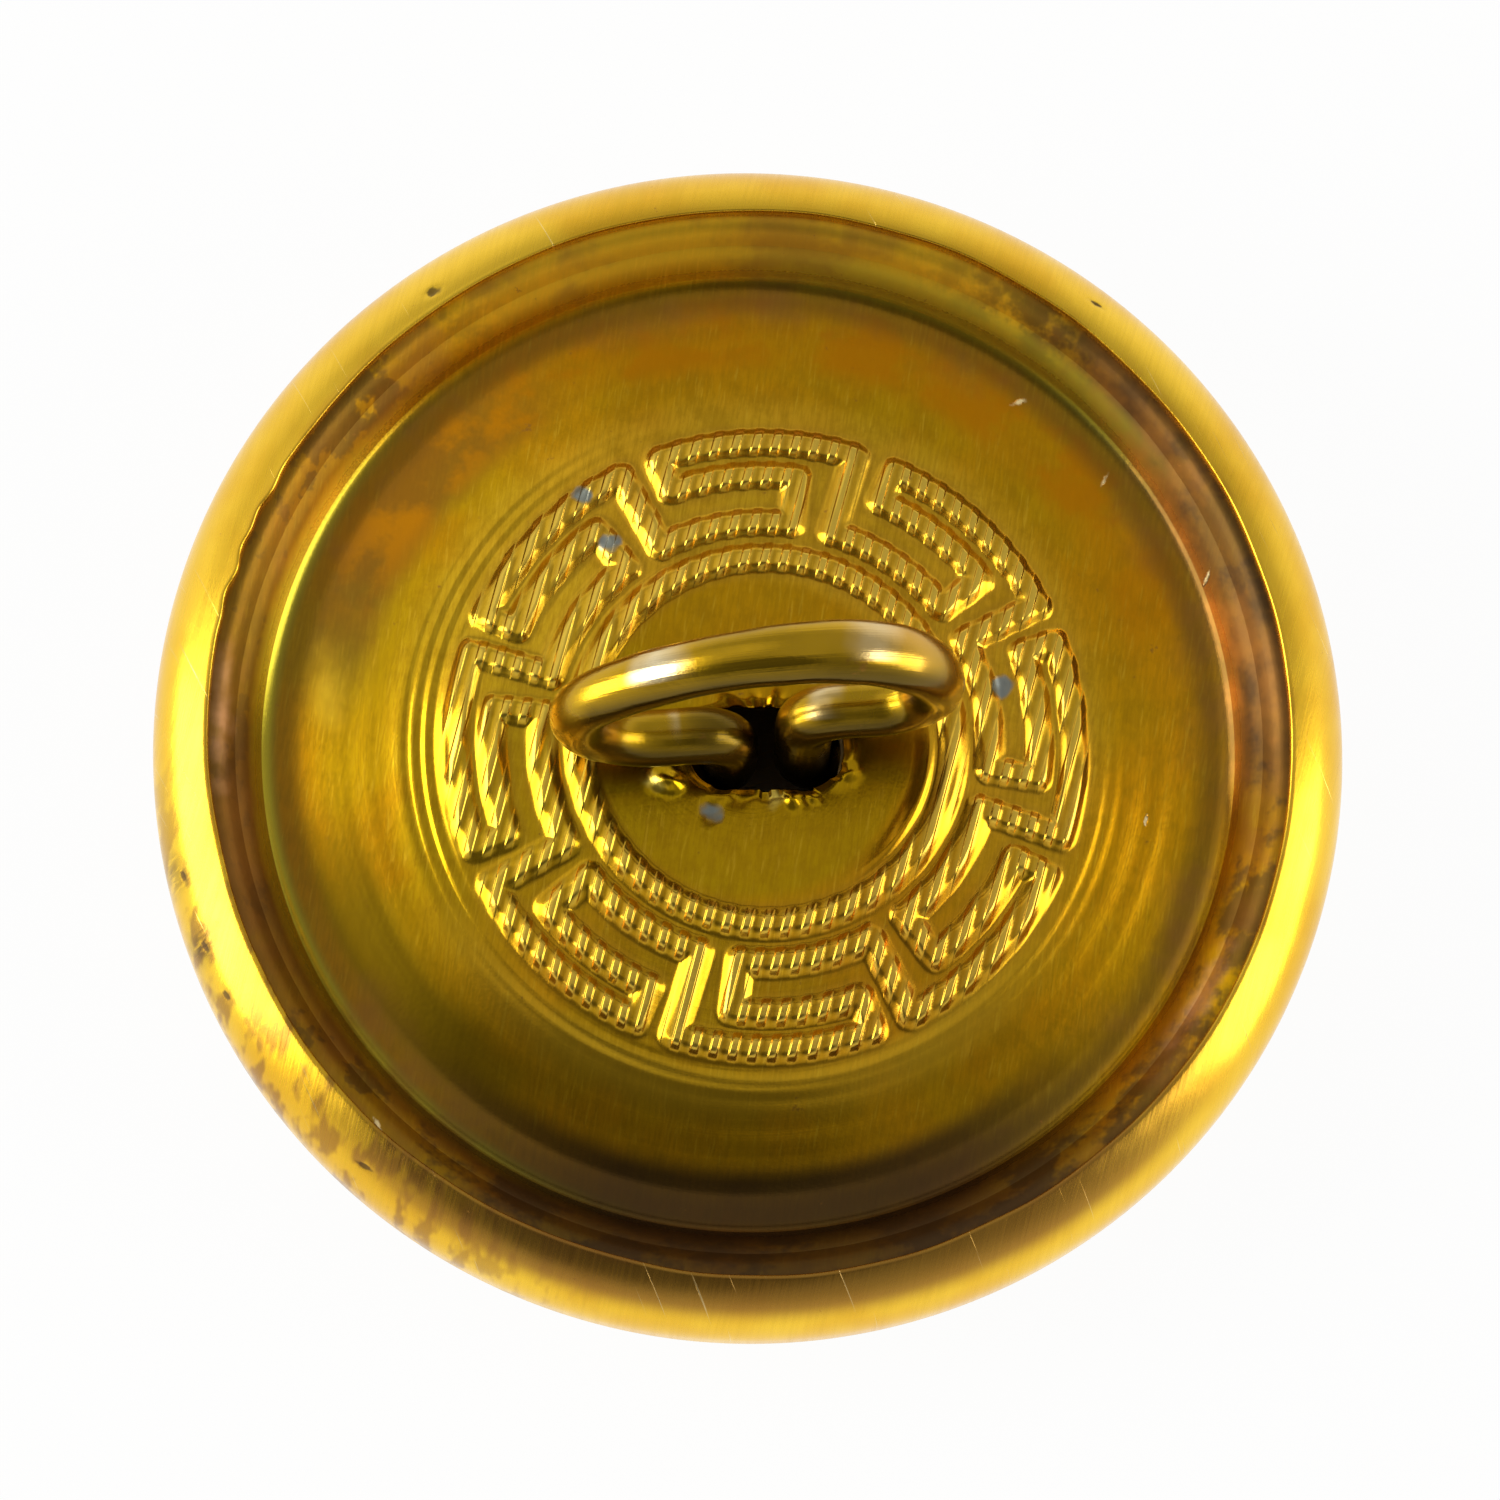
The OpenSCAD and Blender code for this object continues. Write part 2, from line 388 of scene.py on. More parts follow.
def ribbon_distance(x, y):
    """Distance from each point to the middle of the nearest ribbon of the struck ornament."""
    rho = np.hypot(x, y)
    pitch = 360.0 / KEY_COUNT
    turn = (KEY_PHASE - np.degrees(np.arctan2(y, x))) % pitch
    best = np.abs(rho - BORDER_R)
    for shift in (0.0, pitch):
        phi = turn - shift
        for r, a, b in KEY_ROWS:
            near = np.radians(phi - np.clip(phi, a * pitch, b * pitch))
            best = np.minimum(best, np.hypot(rho * np.cos(near) - r, rho * np.sin(near)))
        for r0, r1, a in KEY_BARS:
            off = np.radians(phi - a * pitch)
            out = rho * np.cos(off)
            past = out - np.clip(out, r0, r1)
            best = np.minimum(best, np.hypot(past, rho * np.sin(off)))
    return best


def knurl(x, y):
    """Depth of the straight knurled grooves, from 0 on a ridge to 1 in a groove."""
    a = math.radians(KNURL_ANGLE)
    across = x * math.sin(a) - y * math.cos(a)
    phase = across / KNURL_PITCH * 2.0 * math.pi
    return 0.5 + 0.5 * np.cos(phase + 0.35 * np.cos(phase))


# The ornament is struck more weakly at the left: by which share, and where
WEAK_STRIKE = 0.35
WEAK_PART = (196, 34)


def relief(x, y):
    """Height of the struck ornament over the plate, with x and y from the ornament's centre, and
    the share of its full height without the knurling."""
    worn = 1.0 + 0.25 * np.sin(2.1 * x + 1.3 * y + 0.7) * np.sin(1.7 * y - 2.3 * x)
    weak = 1.0 - WEAK_STRIKE * turn_between(np.degrees(np.arctan2(y, x)), *WEAK_PART)
    edge = RIBBON_W / 2
    body = weak * smooth(edge + RIBBON_FOOT, edge - RIBBON_BROW, ribbon_distance(x, y))
    return body * (RELIEF_H - KNURL_DEPTH * worn * knurl(x, y)), body


# How far the slot's torn edge strays outward
SLOT_RAGGED = 0.05


def slot_edge(angle):
    """Distance from the slot's centre to its edge in each direction."""
    a = np.radians(angle)
    end_r = SLOT_W / 2
    end_x = (SLOT_L - SLOT_W) / 2
    straight_side = end_r / np.maximum(np.abs(np.sin(a)), 1e-6)
    off = end_x * np.sin(a)
    round_end = end_x * np.abs(np.cos(a)) + np.sqrt(np.maximum(end_r ** 2 - off ** 2, 0.0))
    on_side = np.abs(straight_side * np.cos(a)) <= end_x
    ragged = SLOT_RAGGED * np.clip(waves(angle, 9, 7, 17), 0.0, 1.0)
    return np.where(on_side, straight_side, round_end) + ragged


def plate_ring(radius, angle, line, drop=0.0, shift=0.0):
    """One ring on the plate's face. Rings near the middle share the ornament's centre, and the
    innermost are shifted along Y to the slot's."""
    a = np.radians(angle)
    centre = STRUCK_X * (1.0 - smooth(*CENTRE_SHIFTS, radius))
    x = radius * np.cos(a) + centre
    y = radius * np.sin(a) + shift
    z = np.interp(np.hypot(x, y), line[:, 0], line[:, 1]) - drop
    return np.stack([x, y, z], axis=1)


PLATE_AROUND = 624
# Radii between which the rings' centre goes from the ornament's to the button's
CENTRE_SHIFTS = (6.9, 8.8)
# Radii where the rings stop following the slot, stop being closely spaced, and become plain
DISC_EDGE = 3.1
FINE_EDGE = 7.1
WALL_FROM = 9.3
# Distance between rings where the ornament is, along the wall, and along the wall's underside
FINE_STEP = 0.047
WALL_STEP = 0.14
UNDER_STEP = 0.3
# Radii at which the raised ornament fades out, past its outer row
BAND_END = (6.6, 6.35)
# How far inward and down the wall's underside lies, as shares of the sheet's thickness
UNDER_IN = 0.7
UNDER_DOWN = 0.72
UNDER_LEAST_R = 9.05


def back_plate():
    """The stamped plate: crown, gutter, flange, struck key pattern, ripples and the slot."""
    angle = np.arange(PLATE_AROUND) * 360.0 / PLATE_AROUND
    line = plate_line()
    wall_at = int(np.argmax(line[:, 0] > WALL_FROM))
    face = line[:wall_at + 5]
    slot = slot_edge(angle)
    rings = []
    for share in np.linspace(0.0, 1.0, 18)[:-1] ** 1.4:
        radius = slot * (1.0 - share) + DISC_EDGE * share
        rings.append(plate_ring(radius, angle, face, 0.0, SLOT_Y * (1.0 - share)))
    rows = list(np.arange(DISC_EDGE, FINE_EDGE, FINE_STEP))
    rows += list(np.linspace(FINE_EDGE, WALL_FROM, 17)[:-1])
    rings += [plate_ring(r, angle, face) for r in rows]
    rings += [lathe_ring(r, z, angle) for r, z in spaced(line[wall_at:], WALL_STEP)]
    top = np.array(rings)
    x = top[..., 0] - STRUCK_X
    y = top[..., 1]
    rho = np.hypot(x, y)
    raised, body = relief(x, y)
    in_band = smooth(*BAND_END, rho)
    slot_turn = np.degrees(np.arctan2(y - SLOT_Y, x))
    from_slot = np.maximum(np.hypot(x, y - SLOT_Y) - slot_edge(slot_turn), 0.0)
    top[..., 2] += raised * in_band
    top[..., 2] += plate_marks(x, y, rho, from_slot)
    # The underside follows the top at the sheet's thickness
    under = []
    for r, z in spaced(line[wall_at:], UNDER_STEP)[::-1]:
        inner_r = max(r - SHEET_T * UNDER_IN, UNDER_LEAST_R)
        under.append(lathe_ring(inner_r, z - SHEET_T * UNDER_DOWN, angle))
    for r in (8.4, 7.0, 5.0, DISC_EDGE):
        under.append(plate_ring(r, angle, face, SHEET_T))
    under.append(plate_ring(slot + 0.05, angle, face, SHEET_T, SLOT_Y))
    under.append(plate_ring(slot, angle, face, SHEET_T - 0.05, SLOT_Y))
    under = np.array(under)
    rings = np.concatenate([top, under])
    # The grooves and the ribbons' feet are darkened, and the ridges are worn and painted paler as a
    # highlight
    groove = smooth(0.0, 0.5, body) * knurl(x, y)
    foot = hump(ribbon_distance(x, y), RIBBON_W / 2 + 0.1, 0.14)
    on_top = {
        "groove_and_foot": np.clip((0.12 * groove + 0.2 * foot) * in_band, 0.0, 1.0),
        "wear_and_sheen": body * in_band * (1.0 - knurl(x, y)),
        "ribbon": body * in_band,
    }
    facts = {}
    for name, values in on_top.items():
        facts[name] = np.zeros(rings.shape[:2])
        facts[name][:len(top)] = values
    return skin("back_plate_struck", rings, loop=True, facts=facts)


# Ripples round the ornament: height, a crest's radius, spacing, the radius and half width of
# their band, and the direction and half width of the part where they are strong
RIPPLE_H = 0.027
RIPPLE_R = 6.28
RIPPLE_PITCH = 0.26
RIPPLE_BAND = (6.6, 0.6)
RIPPLE_PART = (176, 60)
# Broad turning waves on the crown
BROAD_H = 0.006
BROAD_PITCH = 0.55
BROAD_BAND = (7.6, 1.2)
# The burr just inside the border ring
BURR_H = 0.09
BURR_BAND = (3.16, 0.17)
BURR_PART = (-22, 50)
# Depth of the slot's turned-down rim, and height of the puckers round it
SLOT_RIM = 0.07
PUCKER_H = 0.035
# Height of the uneven sag of the crown
SAG_H = 0.012
SAG_BAND = (7.4, 1.4)
# The soft bulge under the ornament's left part
BULGE_H = 0.13
BULGE_PART = (176, 24)


def plate_marks(x, y, rho, from_slot):
    """Small heights on the plate: ripples, the burr inside the border, dents and the slot's rim."""
    angle = np.degrees(np.arctan2(y, x))
    ripples = np.cos((rho - RIPPLE_R) / RIPPLE_PITCH * 2.0 * math.pi) * hump(rho, *RIPPLE_BAND)
    ripples *= RIPPLE_H * (0.15 + 0.85 * turn_between(angle, *RIPPLE_PART))
    broad = BROAD_H * np.cos(rho / BROAD_PITCH * 2.0 * math.pi) * hump(rho, *BROAD_BAND)
    burr = BURR_H * hump(rho, *BURR_BAND) * turn_between(angle, *BURR_PART)
    rim = -SLOT_RIM * smooth(0.16, 0.0, from_slot)
    pucker = PUCKER_H * waves(angle, 21, 5, 13) * smooth(0.5, 0.05, from_slot)
    sag = SAG_H * waves(angle, 4, 2, 6) * hump(rho, *SAG_BAND)
    bulge = BULGE_H * smooth(6.4, 5.8, rho) * smooth(3.6, 5.6, rho)
    bulge *= turn_between(angle, *BULGE_PART)
    marks = ripples + broad + burr + rim + pucker + sag + bulge
    for px, py, size, depth in PLATE_DENTS:
        marks -= depth * smooth(size, 0.0, np.hypot(x - px, y - py))
    return marks


# Shallow dents in the plate, from the ornament's centre: place, radius and depth. The ones of
# negative depth stand proud: raised metal beside the slot
PLATE_DENTS = [
    (-3.51, 4.89, 0.3, 0.03),
    (-2.98, 3.9, 0.25, 0.03),
    (4.55, 1.08, 0.25, 0.03),
    (-1.08, -1.45, 0.25, 0.03),
    (-1.98, -0.74, 0.34, -0.15),
    (-1.78, -0.86, 0.28, -0.12),
    (1.6, -0.62, 0.25, -0.05),
    (0.5, -1.16, 0.22, -0.11),
    (0.87, -1.12, 0.15, -0.06),
]


# ---- wire shank

def bend(s, u, r, a0, a1, steps):
    """Stations along a bend in the loop's plane: place and direction of travel in degrees."""
    a = np.linspace(a0, a1, steps + 1)
    heading = a + (90.0 if a1 > a0 else -90.0)
    return np.stack([s + r * np.cos(np.radians(a)), u + r * np.sin(np.radians(a)), heading], axis=1)


def straight(start, end, heading, steps):
    """Stations along a straight run, without its two ends."""
    share = np.linspace(0.0, 1.0, steps + 1)[1:-1, None]
    places = np.array(start) * (1.0 - share) + np.array(end) * share
    return np.hstack([places, np.full((len(places), 1), heading)])


def wire_stations():
    """Stations from the end of the left foot, up, round the loop and down to the right foot."""
    washer_top = DISC_Z - SHEET_T - FIT_GAP
    foot_z = washer_top - WASHER_T - FIT_GAP - WIRE_D / 2
    foot_u = (foot_z - DISC_Z) / math.cos(math.radians(LEAN)) - FIT_GAP
    top_u = RIGHT_RUN_U + RIGHT_LOW_R + RIGHT_TOP_R
    left_end_u = LEFT_RUN_U + LEFT_END_R
    arch_s = LEFT_END_S + RIGHT_TOP_S
    arch_u = top_u - left_end_u
    arch_r = (arch_s ** 2 + arch_u ** 2 - LEFT_END_R ** 2) / (2 * (arch_u - LEFT_END_R))
    arch_start = math.degrees(math.atan2(left_end_u - top_u + arch_r, -arch_s))
    out_s = LEG_S + BEND_R
    low_u = foot_u + BEND_R
    right_low_s = RIGHT_TOP_S + RIGHT_TOP_R - RIGHT_LOW_R
    return np.vstack([
        [[-FOOT_S, foot_u, 0.0]],
        bend(-out_s, low_u, BEND_R, 270, 360, 10),
        straight((-LEG_S, low_u), (-LEG_S, LEFT_RUN_U - BEND_R), 90.0, 4),
        bend(-out_s, LEFT_RUN_U - BEND_R, BEND_R, 0, 90, 10),
        straight((-out_s, LEFT_RUN_U), (-LEFT_END_S, LEFT_RUN_U), 180.0, 3),
        bend(-LEFT_END_S, left_end_u, LEFT_END_R, 270, arch_start, 28),
        bend(RIGHT_TOP_S, top_u - arch_r, arch_r, arch_start, 90, 24)[1:],
        bend(RIGHT_TOP_S, top_u - RIGHT_TOP_R, RIGHT_TOP_R, 90, 0, 20)[1:],
        bend(right_low_s, RIGHT_RUN_U + RIGHT_LOW_R, RIGHT_LOW_R, 0, -90, 14)[1:],
        straight((right_low_s, RIGHT_RUN_U), (out_s, RIGHT_RUN_U), 180.0, 4),
        bend(out_s, RIGHT_RUN_U - BEND_R, BEND_R, 90, 180, 10),
        straight((LEG_S, RIGHT_RUN_U - BEND_R), (LEG_S, low_u), 270.0, 8),
        bend(out_s, low_u, BEND_R, 180, 270, 10),
        [[FOOT_S, foot_u, 360.0]],
    ])


WIRE_AROUND = 48
# Length of the chamfer at each cut end, and the share of the wire's size that it takes off
CHAMFER_L = 0.16
CHAMFER = 0.12
# How much thinner and broader the wire is where its top is hammered
FLAT_THINNER = 0.06
FLAT_BROADER = 0.17
# Direction of the wire's side that is painted in shade
WIRE_SHADE_SIDE = (0.0, -0.8, -0.6)


def wire_shank():
    """The bent round wire, a touch flattened at the right of its top, with chamfered ends."""
    path = wire_stations()
    t = np.radians(np.arange(WIRE_AROUND) * 360.0 / WIRE_AROUND)
    along = lengths(path[:, :2])
    heading = np.radians(path[:, 2])
    ends = smooth(0.0, CHAMFER_L, np.minimum(along, along[-1] - along))
    size = WIRE_D / 2 * (1.0 - CHAMFER + CHAMFER * ends)
    # A drawn and bent wire is never quite even
    size = size * (1.0 - 0.008 * np.sin(along * 2.3) - 0.006 * np.sin(along * 5.1 + 1.0))
    flat = smooth(-1.2, 2.4, path[:, 0]) * smooth(3.0, 4.2, path[:, 1])
    in_plane = (size * (1.0 - FLAT_THINNER * flat))[:, None] * np.cos(t)
    sideways = (size * (1.0 + FLAT_BROADER * flat))[:, None] * np.sin(t)
    rings = np.stack([
        path[:, 0, None] - in_plane * np.sin(heading)[:, None],
        sideways,
        path[:, 1, None] + in_plane * np.cos(heading)[:, None],
    ], axis=-1)
    lean = Matrix.Rotation(math.radians(-LEAN), 4, "X")
    yaw = Matrix.Rotation(math.radians(YAW), 4, "Z")
    place = Matrix.Translation((STRUCK_X, SLOT_Y, DISC_Z)) @ yaw @ lean
    turn = np.array(place.to_3x3())
    shift = np.array(place.translation)
    rings = rings @ turn.T + shift
    # Thread has rubbed the top of the loop. Its lower side, its legs by the slot and the undersides
    # of its low runs are painted in shade
    rub = smooth(8.6, 9.8, rings[..., 2])
    middle = rings.mean(axis=1, keepdims=True)
    x = middle[..., 0]
    z = middle[..., 2]
    lower_side = (rings - middle) @ np.array(WIRE_SHADE_SIDE) / size[:, None]
    near_slot = smooth(6.6, 5.5, z) * smooth(1.9, 1.2, np.abs(x - STRUCK_X))
    dirt_and_shade = np.maximum(0.85 * near_slot, 0.9 * smooth(-0.28, 0.42, lower_side))
    low_runs = smooth(7.4, 6.7, z) * smooth(3.6, 3.1, np.abs(x))
    dirt_and_shade = np.maximum(dirt_and_shade, 0.97 * low_runs * smooth(-0.25, 0.2, lower_side))
    # The painted shade is left off the outside of the left bend
    dirt_and_shade = dirt_and_shade * (1.0 - 0.85 * smooth(-3.1, -3.5, rings[..., 0]))
    return skin("wire_shank_loop", rings, caps=True, facts={"wear_and_sheen": rub, "dirt_and_shade": dirt_and_shade})


# ---- materials

class Nodes:
    """Adds nodes to one node tree."""

    def __init__(self, tree):
        self.tree = tree

    def add(self, kind, **settings):
        node = self.tree.nodes.new(kind)
        for key, value in settings.items():
            setattr(node, key, value)
        return node

    def feed(self, socket, value):
        if isinstance(value, bpy.types.NodeSocket):
            self.tree.links.new(value, socket)
        else:
            socket.default_value = value

    def put(self, node, **values):
        """Sets or links a node's inputs, given by name."""
        for name, value in values.items():
            self.feed(node.inputs[name], value)

    def math(self, operation, found, *others):
        """One operation between all the values, from left to right."""
        for other in others:
            node = self.add("ShaderNodeMath", operation=operation)
            self.feed(node.inputs[0], found)
            self.feed(node.inputs[1], other)
            found = node.outputs[0]
        return found

    def times(self, *values):
        return self.math("MULTIPLY", *values)

    def ranged(self, value, low, high, to_low=0.0, to_high=1.0):
        node = self.add("ShaderNodeMapRange", interpolation_type="SMOOTHSTEP")
        for socket, item in zip(node.inputs[:5], (value, low, high, to_low, to_high)):
            self.feed(socket, item)
        return node.outputs[0]

    def along(self, place, direction):
        """How far a place lies in a direction."""
        node = self.add("ShaderNodeVectorMath", operation="DOT_PRODUCT")
        self.feed(node.inputs[0], place)
        node.inputs[1].default_value = direction
        return node.outputs["Value"]


class Finish(Nodes):
    """Adds nodes to one material. Positions are in mm."""

    def __init__(self, name, colour):
        self.material = bpy.data.materials.new(name)
        self.material.use_nodes = True
        super().__init__(self.material.node_tree)
        self.shader = self.tree.nodes["Principled BSDF"]
        scaled = self.add("ShaderNodeVectorMath", operation="SCALE")
        self.feed(scaled.inputs[0], self.add("ShaderNodeTexCoord").outputs["Object"])
        scaled.inputs["Scale"].default_value = 1.0 / MM
        self.place = scaled.outputs[0]
        self.colour = (*colour, 1.0)
        self.bumps = None

    def framed(self, centre=(0, 0, 0), angle=0.0, size=(1, 1, 1)):
        """The position in a frame that is turned about Z, and stretched."""
        node = self.add("ShaderNodeMapping", vector_type="TEXTURE")
        turn = (0.0, 0.0, math.radians(angle))
        self.put(node, Vector=self.place, Location=centre, Rotation=turn, Scale=size)
        return node.outputs[0]

    def noise(self, scale, detail=3.0, rough=0.55, place=None):
        node = self.add("ShaderNodeTexNoise")
        self.put(node, Vector=place or self.place, Scale=scale, Detail=detail, Roughness=rough)
        return node.outputs["Fac"]

    def patches(self, scale, detail, rough, offset, low, high, to_low=0.0, to_high=1.0):
        """Soft patches, moved aside in the noise so that no two sets fall together."""
        noise = self.noise(scale, detail, rough, self.framed((*offset, 0.0)))
        return self.ranged(noise, low, high, to_low, to_high)

    def streaks(self, angle, length, width, low, high, offset=0.0):
        """Fine lines that run in one direction, from 0 between them to 1 on them."""
        place = self.framed((offset, offset * 1.7, 0), angle, (length, width, length))
        return self.ranged(self.noise(1.0, 2.0, 0.6, place), low, high)

    def spot(self, centre, size, angle, inner):
        """1 inside an uneven ellipsoid and 0 outside it."""
        node = self.add("ShaderNodeVectorMath", operation="LENGTH")
        self.feed(node.inputs[0], self.framed(centre, angle, size))
        uneven = self.math("MULTIPLY", self.noise(0.7 / min(size), 2.0), 1.1)
        return self.ranged(self.math("ADD", node.outputs["Value"], uneven), 1.5, inner + 0.5)

    def fact(self, name):
        return self.add("ShaderNodeAttribute", attribute_name=name).outputs["Fac"]

    def axis_distance(self):
        """Distance from the button's axis."""
        flat = self.add("ShaderNodeVectorMath", operation="MULTIPLY")
        self.feed(flat.inputs[0], self.place)
        flat.inputs[1].default_value = (1.0, 1.0, 0.0)
        node = self.add("ShaderNodeVectorMath", operation="LENGTH")
        self.feed(node.inputs[0], flat.outputs[0])
        return node.outputs["Value"]

    def height(self):
        """Distance up the button's axis from the middle of the front."""
        node = self.add("ShaderNodeSeparateXYZ")
        self.feed(node.inputs[0], self.place)
        return node.outputs["Z"]

    def facing(self, angle, *edges):
        """A smooth step round the axis. Its edges are cosines of the angle from a direction."""
        reach = self.along(self.place, at_turn(1.0, angle, 0.0))
        return self.ranged(self.math("DIVIDE", reach, self.axis_distance()), *edges)

    def turned_lines(self, width, low, high):
        """Fine lines round the axis, as left by spinning in a lathe."""
        node = self.add("ShaderNodeTexNoise", noise_dimensions="1D")
        self.put(node, W=self.axis_distance(), Scale=1.0 / width, Detail=3.0)
        return self.ranged(node.outputs["Fac"], low, high)

    def knurl_lines(self, low, high):
        """1 along the ridges of the knurled ribbons, in step with knurl(), and 0 between them."""
        a = math.radians(KNURL_ANGLE)
        across = self.along(self.place, (math.sin(a), -math.cos(a), 0.0))
        across = self.math("SUBTRACT", across, STRUCK_X * math.sin(a))
        phase = self.math("MULTIPLY", across, 2.0 * math.pi / KNURL_PITCH)
        return self.ranged(self.math("COSINE", phase, 0.0), -low, -high)

    def between(self, value, into, out):
        """1 where a value lies in a band. Each edge of the band is where it is 0 and where 1."""
        return self.times(self.ranged(value, *into), self.ranged(value, *out))

    def tint(self, other, *shares):
        """Turns the colour toward another one by the product of some shares."""
        share = self.times(*shares)
        node = self.add("ShaderNodeMix", data_type="RGBA")
        for socket, value in ((0, share), (6, self.colour), (7, (*other, 1.0))):
            self.feed(node.inputs[socket], value)
        self.colour = node.outputs[2]

    def bump(self, height, depth, strength=1.0):
        """Adds one more layer of relief; depth is in mm."""
        node = self.add("ShaderNodeBump")
        self.put(node, Strength=strength, Distance=depth * MM, Height=height)
        if self.bumps is not None:
            self.put(node, Normal=self.bumps)
        self.bumps = node.outputs[0]

    def coat(self, weight, roughness):
        self.put(self.shader, **{"Coat Weight": weight, "Coat Roughness": roughness})

    def done(self, roughness, metallic=1.0):
        self.put(self.shader, **{"Base Color": self.colour})
        self.put(self.shader, Roughness=roughness, Metallic=metallic)
        if self.bumps is not None:
            self.put(self.shader, Normal=self.bumps)
        return self.material


GOLD = (0.95, 0.60, 0.04)
AMBER = (0.72, 0.335, 0.006)
OLIVE = (0.56, 0.36, 0.006)
MOSS = (0.50, 0.44, 0.04)
STRAW = (1.0, 0.72, 0.12)
EMBER = (0.66, 0.25, 0.004)
DUSK = (0.28, 0.17, 0.006)
DUST = (0.34, 0.22, 0.09)
SMOKE = (0.42, 0.22, 0.006)
BROWN = (0.32, 0.14, 0.03)
RUSSET = (0.42, 0.17, 0.015)
UMBER = (0.06, 0.035, 0.018)
ROSE = (0.78, 0.40, 0.20)
TARNISH = (0.20, 0.27, 0.30)
PALE = (0.95, 0.80, 0.42)
BRIGHT = (1.0, 0.78, 0.16)
WIRE_GOLD = (0.56, 0.33, 0.012)
WIRE_OLIVE = (0.42, 0.25, 0.008)
WIRE_ROSE = (0.64, 0.36, 0.06)
WIRE_SHADE = (0.05, 0.034, 0.006)
WIRE_HIGHLIGHT = (1.0, 0.88, 0.60)
OXIDE_PALE = (0.34, 0.23, 0.08)
OXIDE_DARK = (0.22, 0.14, 0.05)
RUST = (0.24, 0.11, 0.04)
BOARD = (0.36, 0.27, 0.17)
BOARD_DARK = (0.24, 0.17, 0.10)
BOARD_FIBRE = (0.50, 0.42, 0.30)


# Radii at which the stain along the lip and the painted shade on the low side fade in
LIP_STAIN_EDGE = (10.62, 10.44)
LOW_SHADE_EDGE = (11.33, 11.0)
# Heights between which the front's finish gives way to the back's
BACK_EDGE = (1.8, 3.0)
# Directions of the painted shadows in two nicks on the rim, their radius and height
NICK_SHADOWS_AT = (193.2, 200.6)
NICK_SHADOW_R = 11.15
NICK_SHADOW_Z = 3.6


def shell_brass():
    """Polished brass with brushing, a brown stain along the lip, scuffs on the front, and painted
    shade on the rim's low side and in its nicks.
    """
    f = Finish("shell_brass_finish", GOLD)
    r = f.axis_distance()
    brushed = f.streaks(KNURL_ANGLE, 2.2, 0.09, 0.3, 0.75)
    back = f.ranged(f.height(), *BACK_EDGE)
    front = f.ranged(f.height(), *BACK_EDGE[::-1])
    specks = f.ranged(f.noise(3.2, 4.0, 0.7), 0.68, 0.76)
    scratch = f.streaks(KNURL_ANGLE + 40, 3.0, 0.05, 0.70, 0.78, 3.1)
    cloudy = f.ranged(f.noise(0.35, 3.0), 0.35, 0.7)
    f.tint(AMBER, cloudy, f.ranged(back, 0.0, 1.0, 0.25, 0.55))
    f.tint(OLIVE, brushed, 0.15)
    # A brown stain along the lip, made weaker on the far side, which paints that side lighter
    lip = f.times(f.ranged(r, *LIP_STAIN_EDGE), f.ranged(f.noise(0.5, 3.0), 0.42, 0.62))
    f.tint(RUSSET, lip, f.facing(90, 0.95, 0.4, 0.15, 0.5), back)
    # Painted shade on the rim's low side, toward the lip
    low_side = f.facing(-85, 0.5, 0.9, 0.0, 0.8)
    f.tint(BROWN, f.ranged(r, *LOW_SHADE_EDGE), low_side, back)
    f.tint(BROWN, specks, 0.6)
    blotches = f.streaks(KNURL_ANGLE, 0.9, 0.42, 0.44, 0.62, 2.3)
    below = f.times(f.facing(-143, 0.75, 0.97), back)
    f.tint(BROWN, f.times(blotches, below), 0.7)
    f.tint(DUST, f.fact("raw"))
    # The nicks are painted dark, as painted shade in them
    f.tint(UMBER, f.ranged(f.fact("dirt_and_shade"), 0.0, 0.35), 0.8)
    # Painted shadow in two of the nicks, broken into strokes
    strokes = f.streaks(35, 0.5, 0.10, 0.34, 0.50, 1.2)
    for angle in NICK_SHADOWS_AT:
        patch = f.spot(at_turn(NICK_SHADOW_R, angle, NICK_SHADOW_Z), (0.5, 0.75, 1.4), angle, 0.0)
        f.tint(UMBER, patch, strokes, 0.95)
    f.tint(PALE, scratch, 0.4)
    scuffs = f.math(
        "MAXIMUM",
        f.streaks(20, 2.6, 0.06, 0.58, 0.70, 6.0),
        f.streaks(118, 1.9, 0.05, 0.6, 0.7, 9.0),
    )
    scuffs = f.times(scuffs, front)
    f.tint(SMOKE, scuffs, 0.45)
    ring = f.times(f.ranged(r, 7.5, 10.6), f.ranged(f.noise(0.8, 4.0, 0.65), 0.36, 0.62))
    f.tint(SMOKE, ring, front, 0.55)
    f.bump(f.times(scuffs, -1.0), 0.004, 0.8)
    f.bump(brushed, 0.0012, 0.8)
    f.bump(f.noise(14.0, 3.0), 0.002, 0.5)
    f.bump(f.times(scratch, -1.0), 0.004, 0.8)
    f.bump(f.noise(0.6, 2.0), 0.05, 0.35)
    rough = f.math("ADD", f.times(brushed, 0.06), 0.24)
    dull = f.math("MAXIMUM", f.fact("dirt_and_shade"), f.fact("raw"))
    dull = f.math("MAXIMUM", f.times(specks, 0.2), f.times(dull, 0.4))
    rough = f.math("ADD", rough, dull)
    f.coat(0.14, 0.12)
    return f.done(rough, f.math("SUBTRACT", 1.0, f.times(f.fact("raw"), 0.8)))


